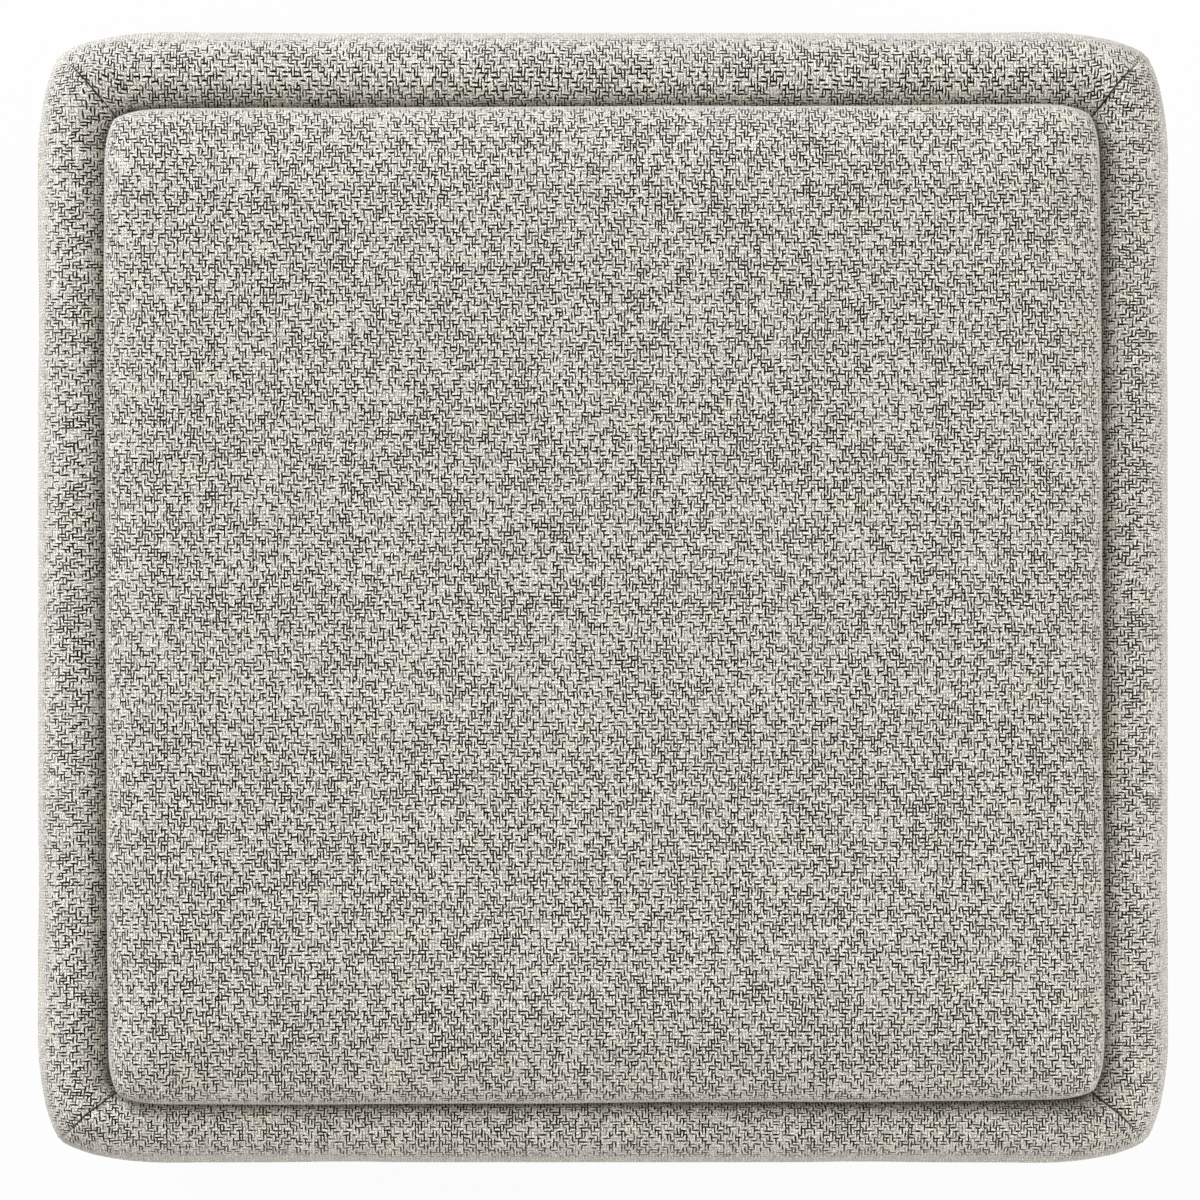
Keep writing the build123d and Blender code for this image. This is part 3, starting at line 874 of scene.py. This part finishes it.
def stepped_sheet(half_x, half_y, corner, ledge, low, high, ripple):
    """A level sheet whose middle lies higher than its edge, with small puckers."""
    bm = bmesh.new()
    bmesh.ops.create_grid(bm, x_segments=1, y_segments=1, size=1)
    bmesh.ops.scale(bm, vec=(half_x, half_y, 1), verts=bm.verts)
    bmesh.ops.translate(bm, vec=(0, 0, low), verts=bm.verts)
    if corner:
        bmesh.ops.bevel(
            bm, geom=bm.verts[:], offset=corner, segments=6, profile=0.5, affect="VERTICES", material=-1,
        )
    middle = bm.faces[:]
    for width in (ledge, STEP_WIDTH):
        bmesh.ops.inset_region(bm, faces=middle, thickness=width, use_boundary=True, use_even_offset=True)
    raised = {vert for face in middle for vert in face.verts}
    bmesh.ops.translate(bm, vec=(0, 0, high - low), verts=list(raised))
    for normal, half in ((Vector((1, 0, 0)), half_x), (Vector((0, 1, 0)), half_y)):
        cuts = int(2 * half / SHEET_CELL)
        for cut in range(1, cuts):
            geometry = bm.verts[:] + bm.edges[:] + bm.faces[:]
            place = normal * (2 * half * cut / cuts - half)
            bmesh.ops.bisect_plane(bm, geom=geometry, plane_co=place, plane_no=normal)
    flat_cloth(bm)
    for vert in bm.verts:
        inside = min(half_x - abs(vert.co.x), half_y - abs(vert.co.y)) / ledge
        vert.co.z += ripple * min(1, inside) * noise.noise(vert.co * 35)
    bmesh.ops.recalc_face_normals(bm, faces=bm.faces)
    return bm


dust_cloth = non_woven("dust_cloth", (0.020, 0.020, 0.020, 1), (0.006, 0.006, 0.006, 1), 0.0014)
dust_edge = hem_inset - (half_width - dust_high.x)
dust_middle = floor_under - DUST_CLOTH / 2
bm = stepped_sheet(
    dust_high.x, dust_high.y, DUST_CORNER, dust_edge, dust_low.z + DUST_CLOTH / 2, dust_middle, DUST_PUCKER,
)
dust_cover = link_mesh("dust_cover_cloth", bm, dust_cloth)
thicken(dust_cover, DUST_CLOTH)
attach(dust_cover, "box")
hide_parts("dust_cover")


# Feet: four round glides moulded in black plastic, each held by a screw in its recess.
# The moulding has a fine spark texture, worn smoother where the foot meets the floor.

WORN_HEIGHT = 0.0008


def glide_plastic():
    """Black moulded plastic with a spark texture."""
    material, tree, shader = start_material("glide_plastic", {"Specular IOR Level": 0.4})
    place = put(tree, "ShaderNodeTexCoord", {}).outputs["Object"]
    spark = speckle(tree, place, 2200.0, 2).outputs["Fac"]
    scuff = speckle(tree, place, 160.0, 4).outputs["Fac"]
    height = put(tree, "ShaderNodeSeparateXYZ", {0: place}).outputs["Z"]
    worn = calc(tree, "MULTIPLY", calc(tree, "LESS_THAN", height, WORN_HEIGHT), scuff)
    colour = blend(tree, worn, (0.014, 0.014, 0.015, 1), (0.06, 0.06, 0.06, 1))
    coat(tree, shader, colour, calc(tree, "MULTIPLY_ADD", spark, 0.3, 0.35))
    emboss(tree, shader, 0.4, 0.0001, spark)
    return material


finish_nodes([corner + "_foot" for corner in CORNERS], glide_plastic())


# Lid: a plywood board with a thick foam pad, wrapped in one square of tweed that is stapled underneath.
# The cloth is drawn in at the board, swells over the foam and is crowned on top; it has no seam.

lid_low, lid_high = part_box("lid_cover")
lid_board_low, lid_board_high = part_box("lid_board")
finish_nodes(["lid_board"], flat_plywood)
LID_CORNER = 0.013
LID_EDGE = 0.009
LID_LOWER_EDGE = 0.003
LID_CROWN = 0.004
LID_DRAW_IN = 0.001
LID_NECK = 0.0002
LID_OVERHANG = 0.0052
LID_PROUD = 0.003
LID_VOXEL = 0.005
LID_SMOOTHING = 5
LID_SWELL = 0.004
LID_HELD = 0.004
LID_HEM = 0.038
LID_FOLD = 0.0012
FOLD_REACH = 0.004
LID_TURN = math.radians(0.27)
SIDE_LIMIT = 0.0003
SIDE_BAND = 0.030
FLARE = 2.5
EDGE_WAVE = 0.0006
WAVE_BAND = 0.010
EDGE_TILT = 0.1
UNDERSIDE = -0.5
LEAST_TURN = 0.05
HEM_BAND = 0.002
BOARD_CLEARANCE = 0.0001


def lid_blank():
    """The lid's block with rounded corners and edges, before it is upholstered."""
    bm = bmesh.new()
    bmesh.ops.create_cube(bm, size=1)
    bmesh.ops.scale(bm, vec=lid_high - lid_low - Vector((0, 0, LID_CROWN)), verts=bm.verts)
    bmesh.ops.translate(bm, vec=(lid_high + lid_low - Vector((0, 0, LID_CROWN))) / 2, verts=bm.verts)
    rounding = {"profile": 0.5, "affect": "EDGES", "material": -1}
    upright = [edge for edge in bm.edges if abs(edge.verts[0].co.z - edge.verts[1].co.z) > LID_EDGE]
    bmesh.ops.bevel(bm, geom=upright, offset=LID_CORNER, segments=8, **rounding)
    top = max(vert.co.z for vert in bm.verts)
    upper = [edge for edge in bm.edges if min(vert.co.z for vert in edge.verts) > top - 1e-6]
    bmesh.ops.bevel(bm, geom=upper, offset=LID_EDGE, segments=6, **rounding)
    lower = [edge for edge in bm.edges if max(vert.co.z for vert in edge.verts) < lid_low.z + 1e-6]
    bmesh.ops.bevel(bm, geom=lower, offset=LID_LOWER_EDGE, segments=3, **rounding)
    return bm


lid = link_mesh("lid_cushion", lid_blank(), tweed)
remesh = lid.modifiers.new("remesh", "REMESH")
remesh.mode = "VOXEL"
remesh.voxel_size = LID_VOXEL
shown = lid.evaluated_get(bpy.context.evaluated_depsgraph_get())
even = bpy.data.meshes.new_from_object(shown)
lid.modifiers.clear()
lid.data = even

bm = bmesh.new()
bm.from_mesh(lid.data)
upholstered = [vert for vert in bm.verts if vert.co.z > lid_board_top]
all_axes = {"use_axis_x": True, "use_axis_y": True, "use_axis_z": True}
for _ in range(LID_SMOOTHING):
    bmesh.ops.smooth_vert(bm, verts=upholstered, factor=0.5, **all_axes)
bm.to_mesh(lid.data)
bm.free()
lid_free = {vert.index for vert in lid.data.vertices if vert.co.z > lid_board_top + LID_HELD}
rest = [vert.co.copy() for vert in lid.data.vertices]
swell(lid, lid_free, LID_SWELL)
bm = bmesh.new()
bm.from_mesh(lid.data)
for vert, start in zip(bm.verts, rest):
    height = min(1, max(0, (start.z - lid_board_top) / (rim_top - lid_board_top)))
    flare = (LID_DRAW_IN + LID_OVERHANG) * height ** FLARE - LID_DRAW_IN - LID_NECK
    for axis in (0, 1):
        side_share = min(1, max(0, (abs(start[axis]) - lid_high.x) / SIDE_BAND + 1))
        moved = min(SIDE_LIMIT, max(-SIDE_LIMIT, vert.co[axis] - start[axis]))
        moved += math.copysign(1, start[axis]) * flare * side_share
        vert.co[axis] = start[axis] + moved

# The cloth folds crisply round the lower edge of the board
fold_half = lid_board_high.x + LID_FOLD
fold_corner = LID_CORNER - (lid_high.x - fold_half)
for vert in bm.verts:
    round_x = max(0, abs(vert.co.x) - fold_half + fold_corner)
    round_y = max(0, abs(vert.co.y) - fold_half + fold_corner)
    reach = math.hypot(round_x, round_y)
    if vert.co.z > lid_board_low.z + FOLD_REACH or reach < fold_corner - FOLD_REACH:
        continue
    if round_x:
        vert.co.x = math.copysign(fold_half - fold_corner + round_x * fold_corner / reach, vert.co.x)
    if round_y:
        vert.co.y = math.copysign(fold_half - fold_corner + round_y * fold_corner / reach, vert.co.y)
    vert.co.z = lid_board_low.z - LID_FOLD
crown = max(vert.co.z for vert in bm.verts)
for vert in bm.verts:
    lift = min(1, max(0, (vert.co.z - lid_board_top) / (crown - lid_board_top)))
    near = 1 - (vert.co.x ** 2 + vert.co.y ** 2) / (2 * lid_high.x ** 2)
    vert.co.z += lift * ((lid_high.z - crown) * near + LID_PROUD)
bm.normal_update()
for vert in bm.verts:
    out = Vector((vert.normal.x, vert.normal.y, 0))
    wave = noise.noise(vert.co * 14) + 0.5 * noise.noise(vert.co * 31)
    vert.co += out * EDGE_WAVE * wave * ease((vert.co.z - rim_top) / WAVE_BAND + 1)
bm.normal_update()

# Flat coordinates of the square of cloth: level on top, and down the sides as far as the cloth has turned
flat = bm.loops.layers.uv.new("cloth")
lit_fuzz = bm.verts.layers.float.new("lit_fuzz")
# Lit fuzz: full on the lid's rounded edges, less on the flat top and the underside
for vert in bm.verts:
    tilt = max(0, 1 - vert.normal.z) if vert.normal.z > UNDERSIDE else 0
    vert[lit_fuzz] = WALL_LIT_FUZZ + (1 - WALL_LIT_FUZZ) * ease(tilt / EDGE_TILT)
edge_level = lid_high.z - LID_CROWN + LID_PROUD
for face in bm.faces:
    for loop in face.loops:
        vert = loop.vert
        drop = max(0.0, edge_level - vert.co.z)
        out = Vector((vert.normal.x, vert.normal.y, 0))
        turn = math.acos(max(-1, 1 - min(drop, LID_EDGE) / LID_EDGE))
        spare = LID_EDGE * (turn - math.sin(turn)) + max(0.0, drop - LID_EDGE)
        spot = vert.co
        if out.length > LEAST_TURN and face.normal.z > UNDERSIDE:
            spot = vert.co + out.normalized() * spare
        loop[flat].uv = spot.xy
hem_reach = lid_high.x - LID_HEM
for vert in bm.verts:
    if vert.co.z < lid_low.z + HEM_BAND and max(abs(vert.co.x), abs(vert.co.y)) < hem_reach:
        vert.co.z = lid_board_low.z - BOARD_CLEARANCE
bmesh.ops.rotate(bm, matrix=Matrix.Rotation(LID_TURN, 3, "Z"), verts=bm.verts)
for vert in bm.verts:
    vert.co += LID_SHIFT * ease((vert.co.z - lid_board_top) / SHIFT_RISE)
bm.to_mesh(lid.data)
bm.free()
lid.data.materials.clear()
lid.data.materials.append(tweed)
for face in lid.data.polygons:
    face.use_smooth = True
finer = lid.modifiers.new("finer", "SUBSURF")
finer.levels = 1
finer.render_levels = 1
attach(lid, "lid")
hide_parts("lid_cover", "lid_foam")


# Lid lining: a square of the charcoal non-woven cloth that covers the raw hems under the lid.
# It is drawn tight, stapled round its edge, and steps up to the board inside the hems.

lining_low, lining_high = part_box("lid_lining")
LINING_CLOTH = 0.0006
LINING_PUCKER = 0.0002
lining_edge = lining_high.x - hem_reach + LID_VOXEL
bm = stepped_sheet(
    lining_high.x, lining_high.y, 0, lining_edge, lining_low.z + LINING_CLOTH / 2,
    lining_high.z - LINING_CLOTH, LINING_PUCKER,
)
lining = link_mesh("lid_lining_cloth", bm, liner_cloth)
thicken(lining, LINING_CLOTH)
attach(lining, "lid")
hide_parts("lid_lining")


# Studio: a pale floor that can be looked through from below, and a bright, even surround.
# A soft key stands at the back left and a weaker fill at the right.

def seen_or_mirrored(tree):
    """One for rays from the camera, a mirror or glass, and nought for light that falls on the object."""
    path = put(tree, "ShaderNodeLightPath", {})
    straight = calc(tree, "MAXIMUM", path.outputs["Is Camera Ray"], path.outputs["Is Glossy Ray"])
    return calc(tree, "MAXIMUM", straight, path.outputs["Is Transmission Ray"])


FLOOR_WHITE = (1, 1, 1, 1)
FLOOR_GLOW = 0.93
floor_material = bpy.data.materials.new("studio_floor")
floor_material.use_nodes = True
tree = floor_material.node_tree
tree.nodes.clear()
paint = put(tree, "ShaderNodeBsdfDiffuse", {"Color": (0.9, 0.9, 0.9, 1)}).outputs[0]
glow = put(tree, "ShaderNodeEmission", {"Color": FLOOR_WHITE, "Strength": 1.0}).outputs[0]
share = calc(tree, "MULTIPLY", seen_or_mirrored(tree), FLOOR_GLOW)
lit = put(tree, "ShaderNodeMixShader", {0: share, 1: paint, 2: glow}).outputs[0]
clear = put(tree, "ShaderNodeBsdfTransparent", {}).outputs[0]
behind = put(tree, "ShaderNodeNewGeometry", {}).outputs["Backfacing"]
one_sided = put(tree, "ShaderNodeMixShader", {0: behind, 1: lit, 2: clear}).outputs[0]
put(tree, "ShaderNodeOutputMaterial", {"Surface": one_sided})
bm = bmesh.new()
bmesh.ops.create_grid(bm, x_segments=1, y_segments=1, size=20)
floor = link_mesh("studio_floor", bm, floor_material)

world = bpy.data.worlds.new("studio")
bpy.context.scene.world = world
world.use_nodes = True
tree = world.node_tree
AMBIENT = (0.632, 0.62, 0.608, 1)
surround = blend(tree, seen_or_mirrored(tree), AMBIENT, FLOOR_WHITE)
tree.links.new(surround, tree.nodes["Background"].inputs["Color"])

LAMP_SIZE = 1.6
LAMP_AIM = Vector((0, 0, 0.4))


def soft_lamp(name, place, watts, colour):
    """A square lamp turned towards the top of the ottoman."""
    lamp_data = bpy.data.lights.new(name, "AREA")
    lamp_data.energy = watts
    lamp_data.size = LAMP_SIZE
    lamp_data.color = colour
    lamp = bpy.data.objects.new(name, lamp_data)
    bpy.context.scene.collection.objects.link(lamp)
    lamp.location = place
    lamp.rotation_euler = (LAMP_AIM - place).to_track_quat("-Z", "Y").to_euler()


soft_lamp("key", Vector((-1.9, 2.1, 1.4)), 70, (0.89, 0.94, 1.0))
soft_lamp("fill", Vector((2.6, -0.6, 1.3)), 25, (0.94, 0.96, 1.0))


# Camera: straight above, with the back of the ottoman at the top of the picture.
# It stands far off with a long lens, so that the walls hardly show.

CAMERA_HEIGHT = 4.0
FRAME_WIDTH = 0.4872
AIM = (-0.0012, -0.0010)
camera_data = bpy.data.cameras.new("camera")
camera_data.lens = camera_data.sensor_width * (CAMERA_HEIGHT - board_top) / FRAME_WIDTH
camera = bpy.data.objects.new("camera", camera_data)
bpy.context.scene.collection.objects.link(camera)
camera.location = (*AIM, CAMERA_HEIGHT)
bpy.context.scene.camera = camera
bpy.context.scene.view_settings.view_transform = "Standard"
